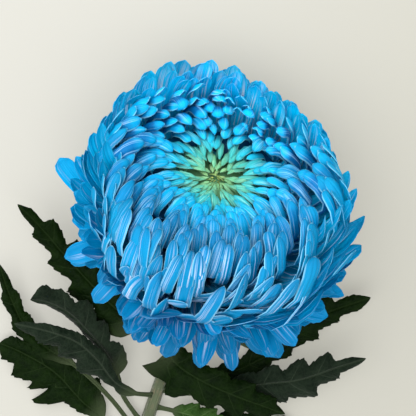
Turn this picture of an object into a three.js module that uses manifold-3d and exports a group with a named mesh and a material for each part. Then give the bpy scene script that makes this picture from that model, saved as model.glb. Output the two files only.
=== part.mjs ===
// A cut chrysanthemum with a dyed blue incurved head, laid on a floor. Millimetres, +Z up.
// The head leans on its lower rays, the neck bends down behind it, and the bare end of the stem
// lies along -Y. The origin is on the floor under the middle of the whole flower.
import * as THREE from "three";
import { mergeVertices } from "three/addons/utils/BufferGeometryUtils.js";
import Module from "manifold-3d";

const wasm = await Module();
wasm.setup();

// The head: its middle, how far its axis lifts from level, and how far it turns from +Y (deg).
const head = { middle: [13, 78, 57], lift: 40, swing: 12 };

// Stations of the ray tips from the eye out to the drooping skirt: distance from the axis,
// height over the middle, lean of the tip from the axis (deg) and ray width.
const stations = [
  [0.4, 25.0, -6, 1.6],
  [6.0, 25.0, -50, 2.3],
  [12.0, 25.8, -62, 3.2],
  [19.0, 28.0, -62, 4.6],
  [27.0, 32.0, -56, 6.4],
  [36.0, 36.5, -46, 8.0],
  [46.0, 40.5, -32, 9.2],
  [56.5, 42.0, -14, 10.0],
  [65.5, 36.0, 4, 10.4],
  [70.5, 22.5, 24, 10.6],
  [72.0, 6.0, 48, 10.8],
  [70.8, -12.0, 74, 10.8],
  [66.5, -29.0, 102, 10.8],
  [60.0, -43.0, 126, 10.8],
];

// One solid ray stands for two or three real ones, so it is wider than they are.
const ray = {
  widen: 1.32,
  crowdInner: 1.2,     // head surface per ray over its width squared, at the eye
  crowdOuter: 1.42,    // the same from the rim outwards
  thickness: 1.5,
  rootHalf: 1.7,
  sunk: 5,             // how deep the root goes into the core
  cupInner: 0.62,      // lift of the edges over the half width, at the eye
  cupOuter: 0.36,      // the same at the skirt
  tipLength: 0.36,     // from the shoulder to the tip, over the width
  leanJitter: 5,
  reachJitter: 0.022,
  turnJitter: 0.05,
};
// The skirt is fuller on the side that this azimuth (deg) points to.
const fuller = { toward: 135, by: 0.06 };
const receptacle = { radius: 13, height: -17, lowest: 112 };
const goldenAngle = Math.PI * (3 - Math.sqrt(5));

// Profiles turned about the head axis: distance, height.
const coreProfile = [
  [0, -30], [16, -30], [28, -25], [37, -12], [39.5, 2], [38.5, 13], [34, 21], [27.5, 25], [0, 25],
];
const heartProfile = [[0, -5.6], [6.4, -5.6], [16, 8], [21, 14.4], [22.6, 20], [18, 22.6], [9, 20.6], [0, 20]];
// The heart sits in the head as a bulb in its cup, with a clear gap all round.
const wellProfile = [
  [0, -5.8], [6.5, -5.8], [11.4, 1.4], [16, 7.4], [20, 12.4], [22.9, 17], [24.3, 21], [23.8, 24.6], [21.8, 27.4],
  [19.6, 28.8], [0, 38],
];
const heartEdge = 20.2;
const wellGap = 0.35;
const cupProfile = [
  [0, -41], [5.5, -41], [11, -38.6], [15, -35], [16.4, -31.6], [15.6, -30.4], [0, -30.4],
];
const bractRows = [
  { count: 8, line: [[13.4, -36.4], [17, -33.4], [18.5, -30.9]], width: 6.6 },
  { count: 7, line: [[9, -39.4], [14.8, -37.8], [17.9, -34.8]], width: 6.4 },
];
const bractThickness = 1.1;

// The neck: distance behind the middle of the head, and half thickness there.
const neck = [[41.35, 5.3], [44.6, 4.2], [49.5, 3.5]];
// The rest of the stem's middle line to the cut end, with its half thickness. It swells at each leaf.
const stemPath = [
  [4.4, 37.5, 22.7, 3.3], [1.2, 22, 13.4, 3.2], [-3.2, 5, 7.4, 3.7], [-9, -13, 4.2, 3.2],
  [-14.8, -31, 3.2, 3.7], [-20.6, -48, 3.1, 3.7], [-26.4, -66, 3.1, 3.7], [-34, -92, 3.1, 3.3],
  [-41, -119, 3.1, 3.6], [-45.5, -146, 3.1, 3.4],
];
const stemSides = 10;
const stemRings = 30;
const stemRidge = 0.12;

// Leaves: the midrib from the petiole's foot to the tip, then rows of
// [share of the way along, reach to the left, reach to the right, forward sweep].
const leafThickness = { rib: 1.1, edge: 0.8, petiole: 2.1 };
const petioleHalf = 1.15;
const leaves = {
  leaf_upper_left: {
    line: [[-7.4, 4.6, 7.8], [-19, 9, 12], [-34, 18, 15], [-49, 34, 17], [-62, 50, 20], [-73, 65, 25], [-83, 77, 30]],
    rows: [
      [0.14, 1.3, 1.3, 0], [0.22, 13, 8, 0.1], [0.29, 15, 11, 0.35], [0.36, 8, 6, 0.1], [0.46, 13, 11, 0.4],
      [0.53, 6.5, 6, 0.1], [0.63, 10, 10.5, 0.5], [0.69, 5, 4.5, 0.1], [0.79, 6.5, 8, 0.6], [0.85, 3, 3, 0.1],
      [0.92, 2.6, 3.4, 0.6],
    ],
    tilt: [-8, -4],
  },
  leaf_far_left: {
    line: [[-26.4, -51.3, 4], [-40, -31, 8.5], [-57, -14, 9], [-74, -3, 9], [-84, 8, 9], [-91, 24, 10], [-96, 43, 14]],
    rows: [
      [0.42, 1.3, 1.3, 0], [0.5, 4, 4, 0.1], [0.56, 6, 6, 0.4], [0.61, 4, 4, 0.1], [0.69, 6, 6, 0.4],
      [0.75, 3.6, 3.6, 0.1], [0.82, 5, 5, 0.4], [0.87, 2.8, 3, 0.1], [0.93, 2.4, 2.6, 0.4],
    ],
    tilt: [10, -6],
  },
  leaf_curled_left: {
    line: [[-24.4, -45, 4.2], [-33, -31, 5], [-35, -20, 8], [-40, -7, 13], [-48, 5, 17], [-59, 18, 21], [-70, 25, 25],
      [-78, 27, 28]],
    rows: [
      [0.3, 1.3, 1.3, 0], [0.36, 3, 8, 0.1], [0.42, 4, 10, 0.5], [0.5, 3.5, 6, 0.1], [0.58, 5, 11, 0.4],
      [0.64, 4, 8, 0.1], [0.72, 5, 12, 0.3], [0.78, 4, 7, 0.1], [0.86, 4, 9.5, 0.1], [0.9, 3, 7.5, 0],
      [0.955, 2.4, 9.5, 0],
    ],
    tilt: [-42, 6],
  },
  leaf_pale_left: {
    line: [[-17.7, -30.8, 6.4], [-27, -27, 14], [-36, -20, 18.5], [-45, -7, 21], [-55, 3, 23], [-68, 9, 25],
      [-78, 12, 26], [-87, 14, 26]],
    rows: [
      [0.12, 1.4, 1.4, 0], [0.19, 4, 2.4, 0.3], [0.26, 2.4, 2.4, 0.1], [0.35, 5, 4, 0.1], [0.45, 12, 5.5, 0.2],
      [0.53, 8, 4.5, 0.1], [0.62, 12, 5, 0.3], [0.7, 7, 4, 0.1], [0.79, 7.5, 4, 0.4], [0.87, 4.4, 2.6, 0.1],
      [0.94, 3, 2, 0.3],
    ],
    tilt: [-6, -16],
  },
  leaf_broad_left: {
    line: [[-30.9, -65.5, 4], [-37, -54, 4.2], [-43, -45, 4.4], [-54, -36, 4.6], [-69, -19, 4.6], [-86, -8, 4.8],
      [-98, -2, 6]],
    rows: [
      [0.26, 1.4, 1.4, 0], [0.34, 4, 10, 0.1], [0.4, 6, 16, 0.2], [0.47, 8, 12, 0.1], [0.55, 21, 15, 0.25],
      [0.59, 9, 9, 0.1], [0.66, 17, 14, 0.3], [0.71, 11, 9, 0.1], [0.8, 15, 10, 0.3], [0.86, 8, 6.5, 0.1],
      [0.93, 8, 6.5, 0.3],
    ],
    tilt: [-3, -2],
  },
  leaf_long_right: {
    line: [[-10.1, -28.6, 4.6], [3, -30, 6.5], [18, -28, 9], [35, -24, 13], [47, -21, 17], [57, -19, 20], [68, -15.5, 22],
      [78, -11, 24], [95, -5, 25]],
    rows: [
      [0.22, 1.3, 1.3, 0], [0.33, 5, 7, 0.1], [0.41, 8, 11, 0.3], [0.46, 6, 8, 0.1], [0.54, 10, 12.5, 0.3],
      [0.59, 6, 9.5, 0.1], [0.68, 11, 12, 0.4], [0.73, 6, 6.5, 0.1], [0.81, 9, 7, 0.5], [0.86, 3.6, 3.6, 0.1],
      [0.93, 2.8, 3, 0.5],
    ],
    tilt: [-6, -12],
  },
  leaf_broad_front: {
    line: [[-5.6, -3.4, 9.9], [-8, -4.5, 17], [-3, -9, 23.5], [10, -17, 26], [26, -25, 24.5], [41, -32, 20.5],
      [54, -38.5, 15.5]],
    rows: [
      [0.09, 1.4, 1.4, 0], [0.15, 8, 15.5, -0.85], [0.22, 9, 12.5, -0.1], [0.27, 10, 18, -0.1], [0.36, 8, 11, 0.1],
      [0.47, 10, 13, 0.3], [0.55, 7, 9, 0.1], [0.66, 10, 12, 0.5], [0.74, 6, 7, 0.1], [0.85, 6.5, 6.5, 0.5],
      [0.91, 3.6, 3.6, 0.1],
    ],
    tilt: [-10, -14],
  },
  leaf_dark_right: {
    line: [[2.2, 10, 9.4], [21, 0, 11.5], [45, 2, 11.5], [64, 11, 12], [79, 18, 14], [98, 25, 15]],
    rows: [
      [0.3, 1.3, 1.3, 0], [0.38, 5, 5, 0.1], [0.46, 9, 8, 0.3], [0.52, 5, 6, 0.1], [0.62, 10, 12, 0.4],
      [0.68, 6, 7.5, 0.1], [0.76, 12, 7.5, 0.5], [0.82, 4, 4.4, 0.1], [0.9, 4.5, 5, 0.5],
    ],
    tilt: [-4, -6],
  },
  leaf_low_right: {
    line: [[-6.5, -17, 5], [10, -21.5, 6], [29, -17, 5.5], [48, -7, 6.5], [67, 3, 9]],
    rows: [
      [0.22, 1.3, 1.3, 0], [0.33, 5, 5, 0.1], [0.43, 8, 8, 0.4], [0.5, 5, 5, 0.1], [0.6, 8, 7.5, 0.4],
      [0.68, 4.6, 4.6, 0.1], [0.78, 6, 6, 0.5], [0.85, 3, 3, 0.1], [0.92, 3, 3, 0.5],
    ],
    tilt: [-3, -3],
  },
  leaf_under_right: {
    line: [[-19.8, -59.5, 4], [-6, -55, 3.8], [16, -51, 3.4], [38, -48, 3.4], [58, -46, 4.4]],
    rows: [
      [0.2, 1.3, 1.3, 0], [0.3, 6, 6, 0.1], [0.4, 11, 11, 0.4], [0.48, 6.5, 6.5, 0.1], [0.6, 11, 11, 0.4],
      [0.68, 6, 6, 0.1], [0.79, 7.5, 7.5, 0.5], [0.86, 3.6, 3.6, 0.1], [0.93, 3.4, 3.4, 0.5],
    ],
    tilt: [-2, -2],
  },
  leaf_small_right: {
    line: [[-13.4, -38.4, 4.6], [-6, -39, 8], [3, -41, 9.6], [16, -45, 9.6], [29, -51, 8.6]],
    rows: [
      [0.18, 1.3, 1.3, 0], [0.3, 5, 5, 0.1], [0.4, 8, 8, 0.4], [0.48, 5, 5, 0.1], [0.6, 8, 8, 0.4],
      [0.68, 4.6, 4.6, 0.1], [0.79, 6, 6, 0.5], [0.86, 3, 3, 0.1], [0.93, 2.6, 2.6, 0.5],
    ],
    tilt: [-4, -4],
  },
};

// Rays that reach below the first height are pressed up smoothly towards the second, and what is
// still under the floor is cut off level: the small flats that the head rests on.
const pressFrom = 9;
const pressTo = -4;
const turnSides = { core: 18, heart: 14, cup: 16 };

const bloomBlue = new THREE.MeshStandardMaterial({ color: 0x1f9be8, roughness: 0.6, metalness: 0 });
const heartGreen = new THREE.MeshStandardMaterial({ color: 0x9fc86a, roughness: 0.65, metalness: 0 });
const calyxGreen = new THREE.MeshStandardMaterial({ color: 0x4d6b35, roughness: 0.7, metalness: 0 });
const stemGreen = new THREE.MeshStandardMaterial({ color: 0x5f6b41, roughness: 0.7, metalness: 0 });
const leafGreen = new THREE.MeshStandardMaterial({ color: 0x2c3f22, roughness: 0.6, metalness: 0 });

// A repeatable draw from -1 to 1 for ray i.
function draw(i, k) {
  const x = Math.sin(i * 12.9898 + k * 78.233) * 43758.5453;
  return 2 * (x - Math.floor(x)) - 1;
}

const rad = THREE.MathUtils.degToRad;
const mix = THREE.MathUtils.lerp;
const clamp = THREE.MathUtils.clamp;

// Slope of y at each station, from its two neighbours.
function slopes(x, y) {
  return x.map((_, k) => {
    if (k === 0) return (y[1] - y[0]) / (x[1] - x[0]);
    if (k === x.length - 1) return (y[k] - y[k - 1]) / (x[k] - x[k - 1]);
    const a = x[k] - x[k - 1];
    const b = x[k + 1] - x[k];
    return (a * a * y[k + 1] + (b * b - a * a) * y[k] - b * b * y[k - 1]) / (a * b * (a + b));
  });
}

// A smooth curve through the stations, read by distance along the tips.
function makeProfile(rows) {
  const x = [0];
  for (let k = 1; k < rows.length; k++) {
    x.push(x[k - 1] + Math.hypot(rows[k][0] - rows[k - 1][0], rows[k][1] - rows[k - 1][1]));
  }
  const columns = rows[0].map((_, c) => rows.map((row) => row[c]));
  const grads = columns.map((y) => slopes(x, y));
  const at = (q) => {
    let k = 0;
    while (k < x.length - 2 && q >= x[k + 1]) k++;
    const h = x[k + 1] - x[k];
    const t = (q - x[k]) / h;
    return columns.map((y, c) => (2 * t ** 3 - 3 * t ** 2 + 1) * y[k] + (t ** 3 - 2 * t ** 2 + t) * h * grads[c][k]
      + (3 * t ** 2 - 2 * t ** 3) * y[k + 1] + (t ** 3 - t ** 2) * h * grads[c][k + 1]);
  };
  return { length: x[x.length - 1], at };
}

// Where along the tips each ray sits, when every ray takes its own share of the surface.
function placeRays(profile) {
  const steps = 1200;
  const ds = profile.length / steps;
  const places = [];
  let count = 0;
  for (let n = 0; n < steps; n++) {
    const s = (n + 0.5) * ds;
    const [r, , , w] = profile.at(s);
    const width = w * ray.widen;
    const crowding = mix(ray.crowdInner, ray.crowdOuter, clamp((3 * s) / profile.length, 0, 1));
    const more = (2 * Math.PI * Math.max(r, 0.5) * ds) / (crowding * width * width);
    while (count + more > places.length + 0.5) {
      places.push((n + (places.length + 0.5 - count) / more) * ds);
    }
    count += more;
  }
  return places;
}

function isInside(profile, r, z) {
  let inside = false;
  for (let a = 0, b = profile.length - 1; a < profile.length; b = a++) {
    const [ra, za] = profile[a];
    const [rb, zb] = profile[b];
    if (za > z !== zb > z && r < ((rb - ra) * (z - za)) / (zb - za) + ra) inside = !inside;
  }
  return inside;
}

// Faces of a closed skin over rings of equal count: sides, a cap at the root and a fan at the tip.
function skin(rings, tip) {
  const n = rings[0].length;
  const points = rings.flat();
  const faces = [];
  for (let k = 0; k + 1 < rings.length; k++) {
    for (let j = 0; j < n; j++) {
      const a = k * n + j;
      const b = k * n + ((j + 1) % n);
      faces.push([a, b, b + n], [a, b + n, a + n]);
    }
  }
  if (tip) {
    const last = (rings.length - 1) * n;
    for (let j = 0; j < n; j++) faces.push([last + j, last + ((j + 1) % n), points.length]);
    points.push(tip);
  }
  return { points, faces };
}

// A closed skin as a solid, whichever way round its faces were listed.
function toSolid(points, faces) {
  const make = (triangles) => new wasm.Manifold(new wasm.Mesh({
    numProp: 3,
    vertProperties: new Float32Array(points.flat()),
    triVerts: new Uint32Array(triangles.flat()),
  }));
  const solid = make(faces);
  return solid.volume() > 0 ? solid : make(faces.map(([a, b, c]) => [a, c, b]));
}

function toGeometry(solid) {
  const mesh = solid.getMesh();
  const geometry = new THREE.BufferGeometry();
  geometry.setAttribute("position", new THREE.BufferAttribute(new Float32Array(mesh.vertProperties), 3));
  geometry.setIndex(new THREE.BufferAttribute(new Uint32Array(mesh.triVerts), 1));
  return geometry;
}

// The head's own frame: z along its axis.
const headAxis = new THREE.Vector3(
  Math.cos(rad(head.lift)) * Math.sin(rad(head.swing)),
  Math.cos(rad(head.lift)) * Math.cos(rad(head.swing)),
  Math.sin(rad(head.lift)),
);
const headSide = new THREE.Vector3(0, 0, 1).cross(headAxis).normalize();
const headFront = new THREE.Vector3().crossVectors(headAxis, headSide);
const headMatrix = new THREE.Matrix4().makeBasis(headSide, headFront, headAxis).setPosition(...head.middle);

function pressed([x, y, z]) {
  const depth = pressFrom - pressTo;
  return [x, y, z < pressFrom ? pressTo + depth * Math.exp((z - pressFrom) / depth) : z];
}

function intoPlace(point) {
  return pressed(new THREE.Vector3(...point).applyMatrix4(headMatrix).toArray());
}

// A profile turned about the head axis and set in its place, as a solid.
function turned(profile, sides) {
  const lathe = new THREE.LatheGeometry(profile.map(([r, z]) => new THREE.Vector2(r, z)), sides);
  lathe.rotateX(Math.PI / 2);
  lathe.deleteAttribute("normal");
  lathe.deleteAttribute("uv");
  const merged = mergeVertices(lathe, 1e-4);
  const at = merged.attributes.position;
  const points = [];
  for (let k = 0; k < at.count; k++) points.push(intoPlace([at.getX(k), at.getY(k), at.getZ(k)]));
  const index = merged.index.array;
  const faces = [];
  for (let k = 0; k < index.length; k += 3) {
    const face = [index[k], index[k + 1], index[k + 2]];
    if (new Set(face).size === 3) faces.push(face);
  }
  return toSolid(points, faces);
}

// One ray: a boat-shaped blade that leaves the core and curves over to its tip.
function makeRay(i, place, profile, core) {
  const age = place / profile.length;
  const [r, z, lean, w] = profile.at(place);
  const loose = 0.35 + 0.65 * age;
  const width = w * ray.widen * (1 + 0.06 * draw(i, 4));
  const aim = rad(lean + ray.leanJitter * draw(i, 1) * loose);
  const turn = i * goldenAngle + ray.turnJitter * draw(i, 3);
  const full = fuller.by * Math.cos(turn - rad(fuller.toward)) * clamp(2 * age - 1, 0, 1);
  const reach = 1 + full + ray.reachJitter * draw(i, 2) * loose;
  const root = rad(receptacle.lowest) * age ** 0.8;
  const out = [Math.sin(root), Math.cos(root)];
  const base = [receptacle.radius * out[0], receptacle.height + receptacle.radius * out[1]];
  const tip = [r * reach, z * reach];
  const span = Math.hypot(tip[0] - base[0], tip[1] - base[1]);
  const knots = [
    new THREE.Vector2(...base),
    new THREE.Vector2(base[0] + 0.45 * span * out[0], base[1] + 0.45 * span * out[1]),
    new THREE.Vector2(tip[0] - 0.42 * span * Math.sin(aim), tip[1] - 0.42 * span * Math.cos(aim)),
    new THREE.Vector2(...tip),
  ];
  const line = new THREE.CubicBezierCurve(...knots);
  const length = line.getLength();
  let free = 1;
  while (free > 0.02) {
    const at = line.getPoint(free);
    if (isInside(core, at.x, at.y)) break;
    free -= 0.01;
  }
  const start = Math.max(0, free - ray.sunk / length);
  const shoulder = 1 - (ray.tipLength * width) / length;
  const cuts = age > 0.2
    ? [start, mix(free, shoulder, 0.34), mix(free, shoulder, 0.7), shoulder]
    : [start, mix(free, shoulder, 0.55), shoulder];
  const cup = mix(ray.cupInner, ray.cupOuter, age);
  const e1 = [Math.cos(turn), Math.sin(turn), 0];
  const side = [-Math.sin(turn), Math.cos(turn), 0];
  const frameAt = (s) => {
    const p = line.getPoint(s);
    const t = line.getTangent(s);
    return {
      at: [p.x * e1[0], p.x * e1[1], p.y],
      along: [t.x * e1[0], t.x * e1[1], t.y],
      inner: [-t.y * e1[0], -t.y * e1[1], t.x],
    };
  };
  const put = (f, x, n, fore = 0) => intoPlace([0, 1, 2].map(
    (c) => f.at[c] + x * side[c] + n * f.inner[c] + fore * f.along[c],
  ));
  const rings = cuts.map((s, k) => {
    const f = frameAt(s);
    const grown = clamp((s - free) / (shoulder - free), 0, 1);
    const swell = k === 0 ? 0 : 0.55 + 0.45 * Math.sin(Math.PI * clamp(grown * 0.62, 0, 0.5));
    const half = k === 0 ? Math.min(ray.rootHalf, 0.28 * width) : 0.5 * width * (k === cuts.length - 1 ? 0.8 : swell);
    const thick = Math.min(ray.thickness, 0.34 * width) * (k === cuts.length - 1 ? 0.8 : 1);
    const lift = half * cup;
    return [put(f, half, lift * 0.7), put(f, 0, -lift * 0.3), put(f, -half, lift * 0.7), put(f, 0, -lift * 0.3 - thick)];
  });
  const end = frameAt(1);
  const { points, faces } = skin(rings, put(end, 0, 0.1 * width));
  faces.push([0, 3, 1], [1, 3, 2]);
  return toSolid(points, faces);
}

// The piece with the most volume, without scraps.
function mainBody(solid) {
  const bodies = solid.decompose();
  bodies.sort((a, b) => b.volume() - a.volume());
  return bodies[0];
}

function onFloor(solid) {
  return solid.trimByPlane([0, 0, 1], 0);
}

// A bract of the cup: a short blade that stands off the cup's side.
function makeBract(line, width, turn) {
  const e1 = [Math.cos(turn), Math.sin(turn), 0];
  const side = [-Math.sin(turn), Math.cos(turn), 0];
  const rings = [0, 1].map((k) => {
    const [r, z] = line[k];
    const run = Math.hypot(line[k + 1][0] - r, line[k + 1][1] - z);
    const along = [(line[k + 1][0] - r) / run, (line[k + 1][1] - z) / run];
    const put = (x, n) => intoPlace([0, 1, 2].map((c) => (
      (r - n * along[1]) * e1[c] + x * side[c] + (c === 2 ? z + n * along[0] : 0))));
    const half = 0.5 * width * (k ? 1 : 0.8);
    return [put(half, 0.3), put(0, 0.2), put(-half, 0.3), put(0, -bractThickness)];
  });
  const [r, z] = line[2];
  const { points, faces } = skin(rings, intoPlace([r * e1[0], r * e1[1], z]));
  faces.push([0, 3, 1], [1, 3, 2]);
  return toSolid(points, faces);
}

// The ridged stem: rings across its middle line, closed at both ends.
function makeStem() {
  const top = neck.map(([back]) => new THREE.Vector3(...head.middle).addScaledVector(headAxis, -back));
  const knots = [...top, ...stemPath.map(([x, y, z]) => new THREE.Vector3(x, y, z))];
  const halves = [...neck.map(([, half]) => half), ...stemPath.map((row) => row[3])];
  const line = new THREE.CatmullRomCurve3(knots, false, "centripetal");
  const rings = [];
  for (let k = 0; k <= stemRings; k++) {
    const t = (k / stemRings) ** 1.25;
    const at = line.getPoint(t);
    const along = k === 0 ? headAxis.clone().negate() : line.getTangent(t);
    const side = new THREE.Vector3(0, 0, 1).cross(along).normalize();
    const up = new THREE.Vector3().crossVectors(along, side);
    const seat = t * (halves.length - 1);
    const low = Math.min(Math.floor(seat), halves.length - 2);
    const half = mix(halves[low], halves[low + 1], seat - low);
    const ring = [];
    for (let j = 0; j < stemSides; j++) {
      const turn = (2 * Math.PI * j) / stemSides + Math.PI / 2;
      const r = half * (j % 2 ? 1 : 1 - stemRidge);
      const p = at.clone().addScaledVector(side, r * Math.cos(turn)).addScaledVector(up, r * Math.sin(turn));
      ring.push(p.toArray());
    }
    rings.push(ring);
  }
  const { points, faces } = skin(rings);
  const last = stemRings * stemSides;
  for (let j = 1; j + 1 < stemSides; j++) {
    faces.push([0, j + 1, j], [last, last + j, last + j + 1]);
  }
  return onFloor(toSolid(points, faces));
}

// A leaf: a lobed blade and its petiole, one skin over the other at the leaf's thickness.
function makeLeaf({ line, rows, tilt }) {
  const curve = new THREE.CatmullRomCurve3(line.map((p) => new THREE.Vector3(...p)), false, "centripetal");
  const bladeStart = rows[0][0];
  const cuts = [[0, petioleHalf, petioleHalf, 0], [bladeStart * 0.5, petioleHalf, petioleHalf, 0], ...rows];
  const columns = [-1, -0.5, 0, 0.5, 1];
  const upper = [];
  const lower = [];
  const lay = (s, left, right, sweep, column) => {
    const at = curve.getPointAt(s);
    const along = curve.getTangentAt(s);
    const side = new THREE.Vector3(0, 0, 1).cross(along).normalize();
    const up = new THREE.Vector3().crossVectors(along, side);
    const reach = column > 0 ? left : right;
    const out = Math.abs(column) * reach;
    const opened = clamp((s - bladeStart) / 0.12, 0, 1);
    const lean = rad(column > 0 ? tilt[0] : tilt[1]) * opened;
    const bulge = 0.1 * reach * Math.sin(Math.PI * Math.abs(column)) * opened;
    const thick = mix(leafThickness.petiole, mix(leafThickness.rib, leafThickness.edge, Math.abs(column)), opened);
    at.addScaledVector(side, Math.sign(column) * out * Math.cos(lean));
    at.addScaledVector(up, out * Math.sin(lean) + bulge);
    at.addScaledVector(along, sweep * out);
    upper.push(at.clone().addScaledVector(up, thick / 2).toArray());
    lower.push(at.clone().addScaledVector(up, -thick / 2).toArray());
  };
  for (const [s, left, right, sweep] of cuts) {
    for (const column of columns) lay(s, left, right, sweep, column);
  }
  lay(1, 0, 0, 0, 0);
  const top = [];
  const n = columns.length;
  for (let k = 0; k + 1 < cuts.length; k++) {
    for (let j = 0; j + 1 < n; j++) {
      const a = k * n + j;
      if (j < n / 2 - 1) top.push([a, a + 1, a + n], [a + 1, a + 1 + n, a + n]);
      else top.push([a, a + 1, a + 1 + n], [a, a + 1 + n, a + n]);
    }
  }
  for (let j = 0; j + 1 < n; j++) {
    const a = (cuts.length - 1) * n + j;
    top.push([a, a + 1, cuts.length * n]);
  }
  const shift = upper.length;
  const edges = new Set(top.flatMap(([a, b, c]) => [`${a} ${b}`, `${b} ${c}`, `${c} ${a}`]));
  const faces = [...top, ...top.map(([a, b, c]) => [a + shift, c + shift, b + shift])];
  for (const edge of edges) {
    const [p, q] = edge.split(" ").map(Number);
    if (!edges.has(`${q} ${p}`)) faces.push([q, p, p + shift], [q, p + shift, q + shift]);
  }
  return onFloor(toSolid([...upper, ...lower], faces));
}

const tips = makeProfile(stations);
const places = placeRays(tips);
const heartRays = [];
const bloomRays = [];
places.forEach((place, i) => {
  const [r] = tips.at(place);
  if (r < heartEdge) heartRays.push(makeRay(i, place, tips, heartProfile));
  else bloomRays.push(makeRay(i, place, tips, coreProfile));
});

const well = turned(wellProfile, turnSides.core);
const wideWell = turned(
  wellProfile.map(([r, z]) => [r && r + wellGap, z < 0 ? z - wellGap : z]),
  turnSides.core,
);
const bloom = mainBody(onFloor(
  wasm.Manifold.union([turned(coreProfile, turnSides.core), ...bloomRays]).subtract(wideWell),
));
const heart = mainBody(
  wasm.Manifold.union([turned(heartProfile, turnSides.heart), ...heartRays]).intersect(well),
);
const bracts = bractRows.flatMap(({ count, line, width }, row) => Array.from(
  { length: count }, (_, k) => makeBract(line, width, (2 * Math.PI * (k + 0.5 * row)) / count),
));
const calyx = mainBody(wasm.Manifold.union([turned(cupProfile, turnSides.cup), ...bracts]));

const group = new THREE.Group();

function addPiece(name, solid, material) {
  const mesh = new THREE.Mesh(toGeometry(solid), material);
  mesh.name = name;
  group.add(mesh);
}

addPiece("bloom_rays", bloom, bloomBlue);
addPiece("bloom_heart", heart, heartGreen);
addPiece("calyx", calyx, calyxGreen);
addPiece("stem", makeStem(), stemGreen);
for (const [name, leaf] of Object.entries(leaves)) addPiece(name, makeLeaf(leaf), leafGreen);

export default group;
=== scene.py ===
import math

import bpy
import numpy as np
from mathutils import Matrix, Vector


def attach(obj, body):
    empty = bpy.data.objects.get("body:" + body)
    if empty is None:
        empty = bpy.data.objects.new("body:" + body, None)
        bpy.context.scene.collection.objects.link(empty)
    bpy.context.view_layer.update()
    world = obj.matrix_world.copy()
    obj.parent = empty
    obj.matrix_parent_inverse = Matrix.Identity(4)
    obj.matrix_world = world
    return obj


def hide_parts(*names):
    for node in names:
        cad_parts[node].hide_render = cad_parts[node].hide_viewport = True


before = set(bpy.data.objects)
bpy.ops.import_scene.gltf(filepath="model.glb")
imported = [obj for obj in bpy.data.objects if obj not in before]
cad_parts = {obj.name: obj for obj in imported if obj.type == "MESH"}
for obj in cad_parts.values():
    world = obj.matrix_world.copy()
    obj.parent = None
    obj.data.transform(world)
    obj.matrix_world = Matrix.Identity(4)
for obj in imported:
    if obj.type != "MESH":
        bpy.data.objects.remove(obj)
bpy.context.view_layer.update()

# A cut chrysanthemum with a dyed blue head, laid on a pale floor and seen from above.
# Shapes are worked out in millimetres and go into the meshes in metres.
mm = 0.001
goldenAngle = math.pi * (3 - math.sqrt(5))

# the head: its middle over the floor, how far its axis lifts from level, its turn from +Y (deg)
head = {
    "middle": (13.0, 78.0, 57.0),
    "lift": 40.0,
    "swing": 12.0,
    "pressFrom": 9.0,      # rays lower than this lie down on the floor
    "floorGap": 0.1,
}


# each kind of draw has a number of its own, so a change to one leaves the others as they are
draws = {
    "lean": 1, "reach": 2, "turn": 3, "width": 4, "bend": 5, "twist": 6, "cup": 7, "curl": 8, "pointed": 9,
    "tone": 11, "wave": 12, "whorl": 13, "shift": 14, "hairPlace": 21, "hairTurn": 22, "hairLean": 23,
    "hairLength": 24, "bractTurn": 31,
}


def draw(i, kind):
    # a repeatable draw from -1 to 1 for each item i
    x = np.sin(np.asarray(i, float) * 12.9898 + draws[kind] * 78.233) * 43758.5453
    return 2 * (x - np.floor(x)) - 1


def smooth(x, a, b):
    t = np.clip((x - a) / (b - a), 0, 1)
    return t * t * (3 - 2 * t)


def blendTo(a, b, share):
    return a + (b - a) * share


def hump(x, spread, middle=0.0):
    return np.exp(-((x - middle) / spread)**2)


def unit(v):
    # the same directions at length one
    return v / np.maximum(np.linalg.norm(v, axis=-1, keepdims=True), 1e-9)


def runAlong(points):
    # how far each point lies along its line
    steps = np.linalg.norm(np.diff(points, axis=-2), axis=-1)
    return np.concatenate([np.zeros_like(steps[..., :1]), steps.cumsum(-1)], -1)


def spreadMarks(shape, marks):
    # one value of each mark for each point of a grid
    return {label: np.broadcast_to(values, shape).reshape(-1) for label, values in marks.items()}


def allRound(count):
    # that many even turns about an axis
    return np.linspace(0, 2 * np.pi, count, endpoint=False)


def lathe(radius, height, turn):
    # rings about the head's axis
    return np.stack(np.broadcast_arrays(radius * np.cos(turn), radius * np.sin(turn), height), -1)


def wallFaces(rows, sides):
    # quads all round a tube, with the numbers of its points
    k = np.arange(rows * sides).reshape(rows, sides)
    after = np.roll(k, -1, 1)
    return k, np.stack([k[:-1], after[:-1], after[1:], k[1:]], -1).reshape(-1, 4).tolist()


def tubeFaces(rows, sides):
    # the wall with a face at each end
    k, faces = wallFaces(rows, sides)
    return faces + [k[0][::-1].tolist(), k[-1].tolist()]


def splineAt(x, y, q):
    # smooth curve through the points x, y, read at q
    y = np.asarray(y, float)
    grads = np.gradient(y, x, axis=0)
    k = np.clip(np.searchsorted(x, q, "right") - 1, 0, len(x) - 2)
    h = x[k + 1] - x[k]
    t = (q - x[k]) / h
    if y.ndim > 1:
        h, t = h[:, None], t[:, None]
    return ((2 * t**3 - 3 * t**2 + 1) * y[k] + (t**3 - 2 * t**2 + t) * h * grads[k]
            + (3 * t**2 - 2 * t**3) * y[k + 1] + (t**3 - t**2) * h * grads[k + 1])


def addObject(name, data):
    made = bpy.data.objects.new(name, data)
    bpy.context.scene.collection.objects.link(made)
    return made


def addPiece(name, points, faces, material, marks, nodes):
    # one mesh piece: points in millimetres, marks are values per point that the material reads
    mesh = bpy.data.meshes.new(name)
    mesh.from_pydata((np.asarray(points) * mm).tolist(), [], faces)
    for label, values in marks.items():
        layer = mesh.attributes.new(label, "FLOAT", "POINT")
        layer.data.foreach_set("value", np.asarray(values, np.float32))
    mesh.polygons.foreach_set("use_smooth", np.ones(len(mesh.polygons), bool))
    mesh.materials.append(material)
    piece = addObject(name, mesh)
    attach(piece, "root")
    if nodes:
        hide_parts(*nodes)
    return piece


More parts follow.
